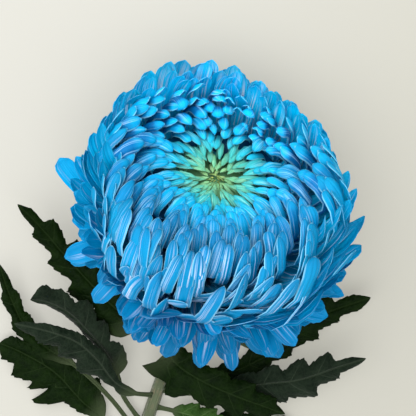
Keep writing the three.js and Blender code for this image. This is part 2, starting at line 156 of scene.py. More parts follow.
def headFrame():
    lift, swing = math.radians(head["lift"]), math.radians(head["swing"])
    axis = np.array([math.cos(lift) * math.sin(swing), math.cos(lift) * math.cos(swing), math.sin(lift)])
    side = unit(np.cross([0, 0, 1], axis))
    return np.array([side, np.cross(axis, side), axis])


def intoPlace(points):
    # from the head's own space to the floor's, with what is too low laid down on the floor
    placed = points @ headFrame() + np.array(head["middle"])
    z = placed[..., 2]
    depth = head["pressFrom"] - head["floorGap"]
    low = head["floorGap"] + depth * np.exp((np.minimum(z, head["pressFrom"]) - head["pressFrom"]) / depth)
    placed[..., 2] = np.where(z < head["pressFrom"], low, z)
    return placed


# materials
class Shader:
    # short ways to add and join shader nodes
    def __init__(self, name):
        self.material = bpy.data.materials.new(name)
        self.material.use_nodes = True
        self.tree = self.material.node_tree
        self.tree.nodes.clear()

    def node(self, kind, settings=None, **inputs):
        made = self.tree.nodes.new("ShaderNode" + kind)
        for key, value in (settings or {}).items():
            setattr(made, key, value)
        for key, value in inputs.items():
            self.put(made.inputs[key.replace("_", " ")], value)
        return made

    def put(self, socket, value):
        if isinstance(value, bpy.types.NodeSocket):
            self.tree.links.new(value, socket)
        elif isinstance(value, tuple) and len(value) == 3 and len(socket.default_value) == 4:
            socket.default_value = (*value, 1)
        else:
            socket.default_value = value

    def marks(self, *labels):
        # the values per point that the meshes carry
        return [self.node("Attribute", {"attribute_name": label}).outputs["Fac"] for label in labels]

    def calc(self, operation, a, b=0.0, clamp=False):
        made = self.node("Math", {"operation": operation, "use_clamp": clamp})
        self.put(made.inputs[0], a)
        self.put(made.inputs[1], b)
        return made.outputs[0]

    def times(self, a, b, clamp=False):
        return self.calc("MULTIPLY", a, b, clamp)

    def plus(self, a, b):
        return self.calc("ADD", a, b)

    def minus(self, a, b, clamp=False):
        return self.calc("SUBTRACT", a, b, clamp)

    def larger(self, a, b):
        return self.calc("MAXIMUM", a, b)

    def vector(self, x=0.0, y=0.0, z=0.0):
        return self.node("CombineXYZ", X=x, Y=y, Z=z).outputs[0]

    def noise(self, vector, scale, detail=2.0, roughness=0.5):
        made = self.node("TexNoise", Vector=vector, Scale=scale, Detail=detail, Roughness=roughness)
        return made.outputs["Fac"]

    def ramp(self, value, stops):
        made = self.node("ValToRGB")
        elements = made.color_ramp.elements
        elements.remove(elements[1])
        elements[0].position = stops[0][0]
        elements[0].color = (*stops[0][1], 1)
        for position, colour in stops[1:]:
            elements.new(position).color = (*colour, 1)
        self.put(made.inputs[0], value)
        return made.outputs["Color"]

    def span(self, value, low, high, toLow=0.0, toHigh=1.0):
        made = self.node("MapRange", Value=value)
        for k, number in enumerate((low, high, toLow, toHigh)):
            made.inputs[k + 1].default_value = number
        return made.outputs[0]

    def mix(self, share, a, b, blend="MIX"):
        made = self.node("Mix", {"data_type": "RGBA", "blend_type": blend})
        self.put(made.inputs[0], share)
        self.put(made.inputs[6], a)
        self.put(made.inputs[7], b)
        return made.outputs[2]

    def bump(self, height, distance):
        return self.node("Bump", Height=height, Distance=distance).outputs[0]

    def skin(self, look, colour, normal):
        made = self.node("BsdfPrincipled", Base_Color=colour, Normal=normal)
        made.inputs["Roughness"].default_value = look["roughness"]
        made.inputs["Specular IOR Level"].default_value = look["gloss"]
        made.inputs["Sheen Weight"].default_value = look.get("down", 0.0)
        return made.outputs[0]

    def finish(self, surface):
        self.node("OutputMaterial", Surface=surface)
        return self.material


def petalMaterial(name, look):
    s = Shader(name)
    along, across, fromTip, age = s.marks("along", "across", "fromTip", "age")
    tone, back, depth, bleachAndLight = s.marks("tone", "back", "depth", "bleachAndLight")
    seed = s.times(tone, 57.0)
    # broad and fine streaks that run the length of the petal
    broad, fine = [
        s.noise(s.vector(s.times(across, widthwise), s.times(along, lengthwise), seed), 1.0, detail, rough)
        for widthwise, lengthwise, detail, rough in look["streaks"]
    ]
    streak = s.plus(s.times(broad, 0.4), s.times(fine, 0.6))
    away = s.calc("ABSOLUTE", across)
    body = s.ramp(age, look["body"])
    pale = s.ramp(age, look["pale"])
    # pale streaks: painted light makes them commonest at the far side of the head, fewer at the sides; they
    # thin out towards the margin and the tip
    bleachedAndLit = s.plus(streak, s.times(bleachAndLight, look["bleachAndLightShift"]))
    inPale = s.span(bleachedAndLit, *look["streakSpan"])
    inside = s.times(s.span(away, 0.6, 0.95, 1.0, 0.2), s.span(fromTip, 0.1, 1.3, 0.1, 1.0))
    # the dye is deeper at the tips; painted shade darkens the near side and the insides of the hoods
    tipDye = s.times(s.span(fromTip, 0.2, 1.5, look["tipDye"], 0.0), s.span(age, 0.12, 0.3))
    body = s.mix(tipDye, body, look["deepDyeAndShade"], "MULTIPLY")
    body = s.mix(s.times(depth, look["paintedShadeStrength"], True), body, look["deepDyeAndShade"], "MULTIPLY")
    pale = s.mix(s.times(depth, 1.0, True), pale, look["paleInShade"], "MULTIPLY")
    colour = s.mix(s.times(inPale, inside, True), body, pale)
    # painted highlight: a thin pale line along the margin of the inner face, laid on after the painted shade
    edge = s.larger(s.span(away, 0.82, 0.93), s.span(fromTip, 0.03, 0.08, 1.0, 0.0))
    # painted shade: the insides of the hoods darker still
    colour = s.mix(s.minus(depth, 1.0, True), colour, look["deepDyeAndShade"], "MULTIPLY")
    margin = s.times(edge, s.span(back, 0.0, 0.6, look["margin"], 0.0), True)
    colour = s.mix(margin, colour, s.ramp(age, look["rim"]))
    shade = s.span(s.calc("FRACT", s.times(tone, 7.3)), 0.0, 1.0, 1 - look["shadeRange"], 1.0)
    colour = s.mix(1.0, colour, s.vector(shade, shade, shade), "MULTIPLY")
    normal = s.bump(streak, look["bump"] * mm)
    through = s.node("BsdfTranslucent", Color=colour, Normal=normal)
    both = s.node("MixShader")
    both.inputs[0].default_value = look["through"]
    s.put(both.inputs[1], s.skin(look, colour, normal))
    s.put(both.inputs[2], through.outputs[0])
    return s.finish(both.outputs[0])


# the rays: stations of their tips from the eye to the drooping skirt, each [distance from the axis,
# height over the middle, lean from the axis at the near side, the sides and the far side (deg), width,
# curl of the tip at the near and the far side (deg), how pointed from 0 to 1, crowding: the head
# surface that one ray takes over its width squared]. Age runs from 0 at the eye to 1 at the last one
rays = {
    "stations": [
        (0.4, 23, -20, -20, -20, 1.5, 14, 14, 1, 0.32),
        (3, 23.2, -58, -58, -58, 2.3, 18, 18, 1, 0.4),
        (6.5, 23.6, -82, -82, -82, 3, 18, 18, 1, 0.6),
        (12, 24.8, -92, -92, -90, 3.8, 14, 16, 0.9, 0.72),
        (18, 27.4, -88, -88, -74, 4.8, 18, 40, 0.6, 0.76),
        (23.5, 30.4, -76, -72, -50, 5.5, 26, 78, 0.45, 1.05),
        (30, 33.6, -64, -62, -22, 6, 30, 86, 0.4, 1.05),
        (38, 37.4, -56, -54, -6, 6.4, 36, 66, 0.4, 1.1),
        (46.5, 40.5, -50, -44, 6, 6.8, 42, 26, 0.3, 1.1),
        (56.5, 42, -40, 20, 14, 7.4, 46, 10, 0.25, 1.05),
        (65, 36, -12, 36, 26, 8, 40, 6, 0.3, 0.9),
        (69, 22.5, 26, 46, 38, 8.8, 20, 4, 0.35, 0.85),
        (70.2, 6, 58, 58, 54, 9.6, 4, 2, 0.3, 0.85),
        (69, -12, 86, 80, 78, 10.2, -6, 0, 0.25, 0.8),
        (64.6, -28, 108, 104, 102, 10.4, -10, 0, 0.2, 0.75),
        (58.6, -41, 126, 126, 126, 10.2, -12, 0, 0.2, 0.8),
    ],
    "thin": (0.04, 0.12),    # rays stand wider apart at the near side, and at the two sides
    "combed": 42.0,          # rays at the sides lie over towards the far side by this much (deg)
    "whorl": 44.0,           # rays under the near side sweep round by about this much (deg)
    "facing": (-26.0, 30.0),  # inner and outer rays at the sides turn about their length (deg)
    "ragged": 5.0,           # the leans shift along the head by up to about this much (mm)
    "wild": 1.2,             # how unruly the rays are where they turn from inward to outward
    # spread and middle in age of the rays that fold over as hoods, run wild and sweep round
    "hoodAges": (0.09, 0.24),
    "wildAges": (0.10, 0.56),
    "whorlAges": (0.13, 0.62),
    "hollow": 0.75,          # more cup for the hooded rays at the far side
    "hoodFlare": (0.5, 0.2),  # how much wider they are, and just behind the tip
    "hoodCurl": 0.6,         # how much longer their curled tips are
    "widerFar": 0.2,
    "receptacle": 13.0,
    "receptacleHeight": -17.0,
    "lowestRoot": 112.0,
    "thickness": 0.34,
    "curlRun": 1.1,          # length of the curled tip over the width
    "cupInner": 0.8,
    "cupOuter": 0.42,
    "ribs": 3.5,
    "ribDepth": 0.19,
    "edgeWave": 0.05,
    # how far single rays depart from the rule, each way
    "jitter": {
        "turn": 0.42, "width": 0.14, "lean": 13, "wildLean": 22, "curl": 0.5, "reach": 0.05,
        "rimReach": 0.03, "whorl": 0.7, "bend": 0.1, "twist": 0.42, "wildTwist": 0.7, "pointed": 0.35,
        "cup": 0.22,
    },
    # the head isn't round: how far the outer rays reach, every 30 degrees from the left side
    "outline": (0.91, 0.87, 0.92, 0.98, 1.04, 1.03, 0.94, 0.87, 0.89, 1.0, 0.99, 0.90),
    # single rays that stand out, each at the ray nearest to its turn (deg) and age: reach, lean (deg)
    "strays": [
        (351, 0.69, 1.09, 50), (24, 0.86, 1.03, 100), (17, 0.96, 1.04, 118),
        (50, 0.81, 1.03, 112), (185, 0.634, 1.06, 50), (174, 0.648, 1.06, 58),
        (163, 0.80, 1.10, 86), (113, 0.94, 1.09, 118), (292, 0.48, 1.03, 12),
        (229, 0.652, 1.03, 44), (274, 0.506, 1, 12),
    ],
    "strayWithin": (0.3, 0.045),  # how near that ray has to be, in turn (rad) and age together
    "groups": [              # name, age up to, cuts along the body, at the tip, across
        ("heartRays", 0.17, 9, 6, 11),
        ("innerRays", 0.36, 8, 8, 15),
        ("crownRays", 0.54, 8, 7, 15),
        ("shoulderRays", 0.73, 8, 6, 13),
        ("skirtRays", 1.01, 7, 5, 15),
    ],
}


def rayPlaces():
    # the rays follow each other by the golden angle, as many at each station as its surface holds
    rows = np.array(rays["stations"])
    at = runAlong(rows[:, :2])
    fine = np.linspace(0, at[-1], 1200)
    values = splineAt(at, rows, fine).T
    r, width, crowding = values[0], values[5], values[9]
    count = np.cumsum(2 * np.pi * np.maximum(r, 0.5) * (fine[1] - fine[0]) / (crowding * width**2))
    number = np.arange(int(count[-1]))
    place = np.interp(number + 0.5, count, fine)
    # the rings where the leans change are not even all round
    turn = number * goldenAngle
    shift = np.sin(3 * turn + 1.3) + 0.7 * np.sin(7 * turn + 0.4) + 0.8 * draw(number, "shift")
    shifted = place + rays["ragged"] * shift * smooth(place / at[-1], 0.1, 0.3)
    leans = (2, 3, 4)
    values = [np.interp(shifted if k in leans else place, fine, row) for k, row in enumerate(values[:9])]
    return number, place / at[-1], np.stack(values)


def rayGrid(number, age, values, bodyCuts, tipCuts, acrossCuts):
    # all rays of a group at once, as arrays of [ray, cut along, cut across, x y z]
    number, age = number[:, None], age[:, None]
    r, z, leanNear, leanSide, leanFar, width, curlNear, curlFar, pointed = values[..., None]
    jitter = rays["jitter"]
    loose = 0.35 + 0.65 * age
    turn = number * goldenAngle + np.minimum(0.5, jitter["turn"] * width / r) * draw(number, "turn")
    thinNear, thinSides = rays["thin"]
    turn = turn + smooth(age, 0.10, 0.25) * (thinSides * np.sin(2 * turn) - thinNear * np.cos(turn))
    farSide = 0.5 - 0.5 * np.sin(turn)
    width = width * (1 + jitter["width"] * draw(number, "width"))
    width = width * (1 + rays["widerFar"] * (farSide - 0.5) * smooth(age, 0.2, 0.4))
    hooded = farSide * hump(age, *rays["hoodAges"])
    wild = rays["wild"] * hump(age, *rays["wildAges"]) * (1 - farSide)**1.2
    swayed = 1 + 0.9 * smooth(age, 0.55, 0.7)
    lean = np.where(farSide < 0.5, blendTo(leanNear, leanSide, smooth(farSide, 0, 0.5)),
                    blendTo(leanSide, leanFar, smooth(farSide, 0.5, 1)))
    lean = np.radians(lean + (jitter["lean"] * loose + jitter["wildLean"] * wild) * draw(number, "lean"))
    curl = np.radians(blendTo(curlNear, curlFar, farSide) * (1 + jitter["curl"] * draw(number, "curl")))
    outer = np.array(rays["outline"])
    full = np.interp(turn, np.arange(len(outer)) * 2 * np.pi / len(outer), outer, period=2 * np.pi)
    uneven = jitter["reach"] * loose + jitter["rimReach"] * smooth(age, 0.4, 0.6)
    reach = 1 + (full - 1) * smooth(age, 0.3, 0.5) + uneven * draw(number, "reach")
    sway = draw(number, "bend")
    turnWithin, ageWithin = rays["strayWithin"]
    for strayTurn, strayAge, strayReach, strayLean in rays["strays"]:
        around = np.abs((turn - math.radians(strayTurn) + np.pi) % (2 * np.pi) - np.pi)
        off = around / turnWithin + np.abs(age - strayAge) / ageWithin
        k = np.argmin(off)
        if off[k] < 1:
            reach[k] = strayReach
            lean[k] = math.radians(strayLean)
            sway[k] = 0
    # the curled tip, as an arc that starts along the lean
    curlRun = rays["curlRun"] * width * (1 + rays["hoodCurl"] * hooded)
    angle = lean - curl * np.linspace(0, 1, tipCuts + 1)
    middle = 0.5 * (angle[:, 1:] + angle[:, :-1])
    step = curlRun / tipCuts
    arc = np.stack([np.sin(middle) * step, np.cos(middle) * step], -1).cumsum(1)
    shoulder = np.stack([r * reach, z * reach], -1) - arc[:, -1:]
    # the body, a curve from its root on the receptacle to the shoulder where the tip starts
    root = math.radians(rays["lowestRoot"]) * age**0.8
    out = np.stack([np.sin(root), np.cos(root)], -1)
    base = rays["receptacle"] * out + np.array([0, rays["receptacleHeight"]])
    span = np.linalg.norm(shoulder - base, axis=-1)[..., None]
    toTip = np.stack([np.sin(lean), np.cos(lean)], -1)
    hold = (0.62 - 0.2 * smooth(age, 0.08, 0.25))[..., None]
    rootward, tipward = base + 0.45 * span * out, shoulder - hold * span * toTip
    s = np.linspace(0, 1, bodyCuts + 1)[:, None]
    body = (1 - s)**3 * base + 3 * (1 - s)**2 * s * rootward + 3 * (1 - s) * s**2 * tipward + s**3 * shoulder
    line = np.concatenate([body, shoulder + arc], 1)
    tangent = unit(np.gradient(line, axis=1))
    run = runAlong(line)
    length = run[:, -1:]
    s = run / length
    fromTip = (length - run) / width
    # into the head's space, combed and swept round
    zero = np.zeros_like(turn)
    e1 = np.stack([np.cos(turn), np.sin(turn), zero], -1)
    side = np.stack([-np.sin(turn), np.cos(turn), zero], -1)
    up = np.array([0, 0, 1.0])
    along = tangent[..., :1] * e1 + tangent[..., 1:] * up
    inner = np.cross(along, side)
    combed = math.radians(rays["combed"]) * smooth(age, 0.12, 0.24) * (1 - smooth(age, 0.60, 0.82))
    whorl = math.radians(rays["whorl"]) * hump(age, *rays["whorlAges"]) * (1 - farSide)**1.5
    sweep = np.clip(whorl * (1 + jitter["whorl"] * draw(number, "whorl")) - combed * np.cos(turn), -1.1, 1.1)
    slope = np.tan(sweep)
    along = unit(along + (slope * (3 * s**2 - 2 * s))[..., None] * side)
    across = np.cross(inner, along)
    bend = jitter["bend"] * ((0.2 + loose) * swayed + wild) * length * sway * s**2
    bend = bend + slope * length * (s**3 - s**2)
    spot = line[..., :1] * e1 + line[..., 1:] * up + bend[..., None] * side
    twist = jitter["twist"] * loose * swayed**0.5 + jitter["wildTwist"] * wild
    facing = np.radians(blendTo(*rays["facing"], smooth(age, 0.33, 0.38))) * smooth(age, 0.12, 0.22)
    twist = twist * draw(number, "twist") * s**1.5 - facing * np.cos(turn) * smooth(s, 0.0, 0.5)
    turned = np.cos(twist)[..., None] * across + np.sin(twist)[..., None] * inner
    inner = np.cross(along, turned)
    # outline: slim root, widest near three quarters, then a round or pointed tip
    pointed = pointed + (0.25 - 0.5 * farSide) * smooth(age, 0.15, 0.3) * (1 - smooth(age, 0.46, 0.6))
    pointed = np.clip(pointed + jitter["pointed"] * draw(number, "pointed"), 0, 1)
    u = np.clip(1 - fromTip / blendTo(0.5, 1.5, pointed), 0, 1)
    outline = np.clip(1 - u**blendTo(2.6, 1.7, pointed), 0, 1)**blendTo(0.5, 0.75, pointed)
    allOver, atTip = rays["hoodFlare"]
    flare = 1 + hooded * (allOver + atTip * hump(fromTip, 0.45, 0.55))
    half = 0.5 * width * flare * (0.42 + 0.58 * smooth(s, 0.08, 0.58)) * np.maximum(outline, 0.10)
    # section: an arc with ribs, deeper on the far side, with a slight wave at its edges
    cup = blendTo(rays["cupInner"], rays["cupOuter"], age) * (1 + jitter["cup"] * draw(number, "cup"))
    cup = cup * blendTo(0.85, 1.35, farSide) * (1.25 - 0.35 * smooth(s, 0.1, 0.6) + 0.25 * u)
    cup = np.minimum(cup + rays["hollow"] * hooded * smooth(s, 0.3, 0.7), 1.5)
    t = np.linspace(-1, 1, acrossCuts)
    radius = (half / cup)[..., None]
    x = radius * np.sin(cup[..., None] * t)
    n = radius * (1 - np.cos(cup[..., None] * t)) - 0.18 * half[..., None]
    rib = rays["ribDepth"] * np.minimum(1, half / 4) * (1 - 0.7 * u)
    n = n + rib[..., None] * np.cos(2 * np.pi * rays["ribs"] * t * 0.5) * (1 - t**6)
    wave = rays["edgeWave"] * half * smooth(s, 0.3, 0.8) * np.sin(2.2 * fromTip + 6 * draw(number, "wave"))
    n = n + wave[..., None] * t * t
    grid = spot[:, :, None] + x[..., None] * turned[:, :, None] + n[..., None] * inner[:, :, None]
    # what the material reads: depth is painted shade, on the near side and in the insides of the hoods
    nearShade = (1 - farSide)**0.8 * smooth(age, 0.1, 0.3) * (1 - 0.2 * smooth(age, 0.5, 0.62))
    hoodShade = nearShade + 1.3 * hooded * smooth(fromTip, 0.35, 0.9)
    # painted light: the outer rays at the far side are paled to look lit; the sides get fewer pale streaks
    bleachAndLight = farSide**3 * smooth(age, 0.35, 0.45) - 0.9 * np.abs(np.cos(turn))**1.5 * smooth(age, 0.2, 0.35)
    return grid, {
        "along": s[:, None, :, None],
        "across": t,
        "fromTip": fromTip[:, None, :, None],
        "age": (age + 0.03 * (1 - farSide))[..., None, None],
        "tone": (0.5 + 0.5 * draw(number, "tone"))[..., None, None],
        "back": np.array([[[0.0]], [[1.0]]]),
        "depth": np.stack(np.broadcast_arrays(hoodShade, nearShade), 1)[..., None],
        "bleachAndLight": bleachAndLight[..., None, None],
    }


def rayShell(grid):
    # the outer skin stands off the inner one and meets it at a thin margin
    normal = unit(np.cross(np.gradient(grid, axis=1), np.gradient(grid, axis=2)))
    ends = np.linspace(0, 1, grid.shape[1])[:, None]
    t = np.linspace(-1, 1, grid.shape[2])
    thick = rays["thickness"] * (1 - 0.75 * np.abs(t)**3) * (1 - 0.7 * ends**6)
    return grid + normal * thick[..., None]


def shellFaces(rows, columns):
    # quads of one closed blade: inner skin, outer skin, rim
    total = rows * columns
    k = np.arange(total).reshape(rows, columns)
    a, b, c, d = k[:-1, :-1], k[:-1, 1:], k[1:, 1:], k[1:, :-1]
    inner = np.stack([a, d, c, b], -1).reshape(-1, 4)
    outer = np.stack([a, b, c, d], -1).reshape(-1, 4) + total
    ring = np.concatenate([k[0, :], k[1:, -1], k[-1, -2::-1], k[-2:0:-1, 0]])
    after = np.roll(ring, -1)
    rim = np.stack([after, after + total, ring + total, ring], -1)
    return np.concatenate([inner, outer, rim])


def buildRays(name, number, age, values, cuts, material, nodes):
    grid, marks = rayGrid(number, age, values, *cuts)
    both = np.stack([grid, rayShell(grid)], 1)
    count, skins, rows, columns = both.shape[:4]
    one = shellFaces(rows, columns)
    faces = one + (np.arange(count) * skins * rows * columns)[:, None, None]
    faces = faces.reshape(-1, 4).tolist()
    marks = spreadMarks(both.shape[:4], marks)
    addPiece(name, intoPlace(both.reshape(-1, 3)), faces, material, marks, nodes)
    print(name, count, "rays,", len(one) * 2 * count, "triangles")


def buildCore(name, core, material, nodes):
    # a body turned about the head's axis
    rows = np.array(core["profile"], float)
    turn = allRound(core["turns"])
    points = lathe(rows[:, :1], rows[:, 1:], turn).reshape(-1, 3)
    points = np.concatenate([points, [[0, 0, rows[0, 1]], [0, 0, rows[-1, 1]]]])
    k, faces = wallFaces(len(rows), len(turn))
    low, high = len(points) - 2, len(points) - 1
    faces += [[low, int(b), int(a)] for a, b in zip(k[0], np.roll(k[0], -1))]
    faces += [[high, int(a), int(b)] for a, b in zip(k[-1], np.roll(k[-1], -1))]
    unread = dict.fromkeys(("along", "across", "fromTip", "tone", "back", "depth", "bleachAndLight"), 0.0)
    marks = spreadMarks(len(points), {**unread, "age": core["age"]})
    addPiece(name, intoPlace(points), faces, material, marks, nodes)
    print(name, len(faces), "faces")


petalLook = {
    # from the green eye to the blue is the dye; brightest at the crown and darker on the skirt is painted
    # light and painted shade
    "body": [(0.0, (0.54, 0.52, 0.10)), (0.018, (0.36, 0.58, 0.20)), (0.045, (0.19, 0.58, 0.34)),
             (0.085, (0.06, 0.52, 0.48)), (0.12, (0.014, 0.52, 0.68)), (0.165, (0.001, 0.54, 0.90)),
             (0.24, (0.0, 0.58, 0.98)), (0.45, (0.0, 0.68, 1.0)), (0.75, (0.0, 0.54, 0.92)),
             (1.0, (0.0, 0.42, 0.74))],
    "pale": [(0.0, (0.66, 0.66, 0.30)), (0.045, (0.44, 0.76, 0.50)), (0.10, (0.26, 0.76, 0.76)),
             (0.18, (0.26, 0.76, 0.98)), (0.32, (0.58, 0.86, 1.0)), (0.45, (0.84, 0.92, 1.0)),
             (1.0, (0.78, 0.84, 0.97))],
    # the colours of the painted highlight along the margins
    "rim": [(0.0, (0.60, 0.66, 0.32)), (0.15, (0.36, 0.82, 0.80)), (0.25, (0.34, 0.84, 1.0)),
            (1.0, (0.58, 0.84, 0.98))],
    # broad and fine streaks: how many across and along, detail, roughness
    "streaks": [(2.6, 1.3, 2.0, 0.5), (7.5, 2.0, 3.0, 0.6)],
    "streakSpan": (0.512, 0.60),
    "bleachAndLightShift": 0.07,
    "margin": 0.5,
    # how strong the painted shade is and its colours; the first colour also deepens the dyed tips
    "paintedShadeStrength": 0.9,
    "deepDyeAndShade": (0.28, 0.31, 0.47),
    "paleInShade": (0.60, 0.68, 0.82),
    "tipDye": 0.3,
    "shadeRange": 0.16,
    "bump": 0.6,
    "roughness": 0.4,
    "gloss": 0.12,
    "through": 0.45,
}

number, age, values = rayPlaces()
petals = petalMaterial("dyedPetal", petalLook)
youngest = 0.0
for name, oldest, *cuts in rays["groups"]:
    chosen = (age >= youngest) & (age < oldest)
    slot = "heart" if name == "heartRays" else "rays"
    buildRays(name, number[chosen], age[chosen], values[:, chosen], cuts, petals, ["bloom_" + slot])
    youngest = oldest

# the crowded feet of the rays, seen only in the gaps, coloured dark as painted shade: [distance from the
# axis, height]
cores = {
    "rayBases": {
        "profile": [(15, -29), (27, -24), (37, -11), (40, 3), (39, 14), (33, 22), (26, 22), (23.5, 14),
                    (12, 2)],
        "turns": 48,
        "age": 0.5,
    },
    "heartBase": {
        "profile": [(6, -5), (15, 5), (20, 11), (22, 16), (18, 18.2), (9, 19.4), (4, 20.6), (1.5, 21.2)],
        "turns": 32,
        "age": 0.02,
    },
}
# dark colours that paint the shade in the gaps
shadedCoreLook = dict(
    petalLook, shadeRange=0.0, margin=0.0,
    body=[(0.0, (0.14, 0.30, 0.12)), (0.05, (0.09, 0.31, 0.19)), (0.3, (0.002, 0.09, 0.20))],
    pale=[(0.0, (0.08, 0.22, 0.12)), (0.3, (0.004, 0.11, 0.24))],
)
feet = petalMaterial("shadedPetalFeet", shadedCoreLook)
buildCore("rayBases", cores["rayBases"], feet, ["bloom_rays"])
buildCore("heartBase", cores["heartBase"], feet, ["bloom_heart"])

# the calyx: a cup behind the head with two rows of bracts, as [distance from the axis, height]
calyx = {
    "cup": [(0.6, -40.9), (5.5, -40.9), (8.4, -40), (11, -38.5), (13.2, -36.9), (15, -34.9), (16, -33.2),
            (16.3, -31.6), (15.6, -30.5), (0.6, -30.5)],
    "turns": 96,
    "flutes": 24,
    "fluting": 0.012,
    "rows": [
        {"count": 8, "line": [(13.4, -36.4), (17, -33.4), (18.5, -30.9)], "width": 6.6, "turned": 0.0},
        {"count": 7, "line": [(9, -39.4), (14.8, -37.8), (17.9, -34.8)], "width": 6.4, "turned": 0.5},
    ],
    "thickness": 1.0,
    "cuts": 16,
    "columns": 13,
    "keel": 0.22,            # ridge down the middle of each bract
}


def calyxMaterial(name, look):
    s = Shader(name)
    along, across, bract = s.marks("along", "across", "bract")
    away = s.calc("ABSOLUTE", across)
    lengthwise = s.vector(s.times(across, 9.0), s.times(along, 1.6), bract)
    fibre = s.noise(lengthwise, 1.0, 3.0, 0.6)
    colour = s.mix(s.span(fibre, 0.35, 0.65), look["deep"], look["light"])
    colour = s.mix(s.span(away, 0.05, 0.22, 0.5, 0.0), colour, look["deep"])
    papery = s.larger(s.span(away, 0.62, 0.84), s.span(along, 0.84, 0.95))
    colour = s.mix(s.times(papery, s.span(bract, 0.2, 0.4), True), colour, look["margin"])
    return s.finish(s.skin(look, colour, s.bump(fibre, look["bump"] * mm)))


def buildCalyx(material):
    cup = np.array(calyx["cup"], float)
    turn = allRound(calyx["turns"])
    flutes = calyx["flutes"] * turn
    radius = cup[:, :1] * (1 - calyx["fluting"] * (1 - np.cos(flutes)))
    faces = tubeFaces(len(cup), len(turn))
    points = [lathe(radius, cup[:, 1:], turn).reshape(-1, 3)]
    marks = [spreadMarks((len(cup), len(turn)), {
        "along": np.linspace(0, 1, len(cup))[:, None], "across": 0.5 * np.sin(flutes), "bract": 0.0,
    })]
    u = np.linspace(0, 1, calyx["cuts"] + 1)[:, None]
    t = np.linspace(-1, 1, calyx["columns"])
    total = sum(row["count"] for row in calyx["rows"])
    number = 0
    for row in calyx["rows"]:
        # the line of a bract from the cup to its tip, through three points
        a, b, c = np.array(row["line"], float)
        line = (1 - u)**2 * a + 2 * u * (1 - u) * (2 * b - 0.5 * (a + c)) + u**2 * c
        step = unit(np.gradient(line, axis=0))
        out = np.stack([step[:, 1], -step[:, 0]], -1)
        half = 0.5 * row["width"] * (0.86 + 0.14 * np.sin(np.pi * u)) * np.clip(1 - u**2.4, 0.0025, 1)**0.62
        x = half * t
        thick = calyx["thickness"] * (1 - 0.8 * np.abs(t)**2.5) * (1 - 0.75 * u**3)
        thick = thick + calyx["keel"] * hump(x, 0.5) * (1 - u**2)
        for n in range(row["count"]):
            angle = 2 * np.pi * (n + row["turned"]) / row["count"] + 0.05 * draw(number, "bractTurn")
            e1, side = [math.cos(angle), math.sin(angle), 0], [-math.sin(angle), math.cos(angle), 0]
            blades = []
            for share in (-0.5, 0.5):
                r = line[:, :1] + out[:, :1] * thick * share - x**2 / (2 * np.maximum(line[:, :1], 7))
                z = line[:, 1:] + out[:, 1:] * thick * share
                blades.append(r[..., None] * e1 + x[..., None] * side + z[..., None] * [0, 0, 1.0])
            faces += (shellFaces(len(u), len(t)) + sum(map(len, points))).tolist()
            points.append(np.stack(blades).reshape(-1, 3))
            marks.append(spreadMarks((2, len(u), len(t)), {
                "along": u, "across": t, "bract": 0.5 + 0.5 * number / total,
            }))
            number += 1
    marks = {label: np.concatenate([one[label] for one in marks]) for label in marks[0]}
    addPiece("calyxCup", intoPlace(np.concatenate(points)), faces, material, marks, ["calyx"])
    print("calyxCup", number, "bracts,", len(faces), "faces")


calyxLook = {
    "deep": (0.018, 0.036, 0.010),
    "light": (0.045, 0.075, 0.024),
    "margin": (0.26, 0.24, 0.15),
    "bump": 0.2,
    "roughness": 0.6,
    "gloss": 0.2,
}
buildCalyx(calyxMaterial("bractedCalyx", calyxLook))

# the stem: its middle line as [x, y, z, half thickness], the first points behind the head's middle
stem = {
    "neck": [(41.35, 5.3), (44.6, 4.2), (49.5, 3.5)],
    "path": [
        (4.4, 37.5, 22.7, 3.3), (1.2, 22, 13.4, 3.2), (-3.2, 5, 7.4, 3.7), (-9, -13, 4.2, 3.2),
        (-14.8, -31, 3.2, 3.7), (-20.6, -48, 3.1, 3.7), (-26.4, -66, 3.1, 3.7), (-34, -92, 3.1, 3.3),
        (-41, -119, 3.1, 3.6), (-45.5, -146, 3.1, 3.4),
    ],
    "rings": 170,
    "sides": 40,
    "ridges": 5,
    "firstRidge": 36.0,
    "ridgeDepth": 0.06,
    "groove": 0.035,         # finer grooves between the ridges
    "uneven": 0.012,
    # rings of the cut end: share of the radius, how deep it is sunk, tone from bark to pith
    "cutEnd": [(0.86, 0.0, 0.35), (0.55, 0.35, 0.6), (0.25, 0.25, 0.9), (0.02, 0.3, 1.0)],
    "hairs": 1500,
    "hairLength": 0.55,
    "hairHalf": 0.035,
    "floorGap": 0.02,
}


def curveThrough(knots, cuts=24):
    # a smooth curve through the knots, with the same number of cuts between each two
    p = np.concatenate([[2 * knots[0] - knots[1]], knots, [2 * knots[-1] - knots[-2]]])
    spots = []
    for a, b, c, d in zip(p, p[1:], p[2:], p[3:]):
        before, between, after = (np.linalg.norm(v)**0.5 for v in (b - a, c - b, d - c))
        first = ((b - a) / before - (c - a) / (before + between) + (c - b) / between) * between
        last = ((c - b) / between - (d - b) / (between + after) + (d - c) / after) * between
        t = (np.arange(cuts) / cuts)[:, None]
        square, cube = 3 * (c - b) - 2 * first - last, 2 * (b - c) + first + last
        spots.append(b + first * t + square * t**2 + cube * t**3)
    spots = np.concatenate(spots + [knots[-1:]])
    return spots, runAlong(spots)


def readAlong(at, run, spots):
    return np.stack([np.interp(at, run, column) for column in spots.T], 1)


def crossFrame(along):
    side = unit(np.cross([0, 0, 1], along))
    return side, np.cross(along, side)


def stemMaterial(name, look):
    s = Shader(name)
    around, run, end = s.marks("around", "run", "end")
    strand = s.noise(s.vector(s.times(around, 22.0), s.times(run, 0.05)), 1.0, 3.0, 0.6)
    patch = s.noise(s.vector(around, s.times(run, 0.12), 4.0), 2.0, 2.0)
    colour = s.mix(s.span(strand, 0.35, 0.65), look["groove"], look["ridge"])
    colour = s.mix(s.span(patch, 0.52, 0.72, 0.0, look["blush"]), colour, look["warm"])
    colour = s.mix(s.span(end, 0.05, 0.3), colour, look["wood"])
    colour = s.mix(s.span(end, 0.55, 0.75), colour, look["pith"])
    return s.finish(s.skin(look, colour, s.bump(strand, look["bump"] * mm)))


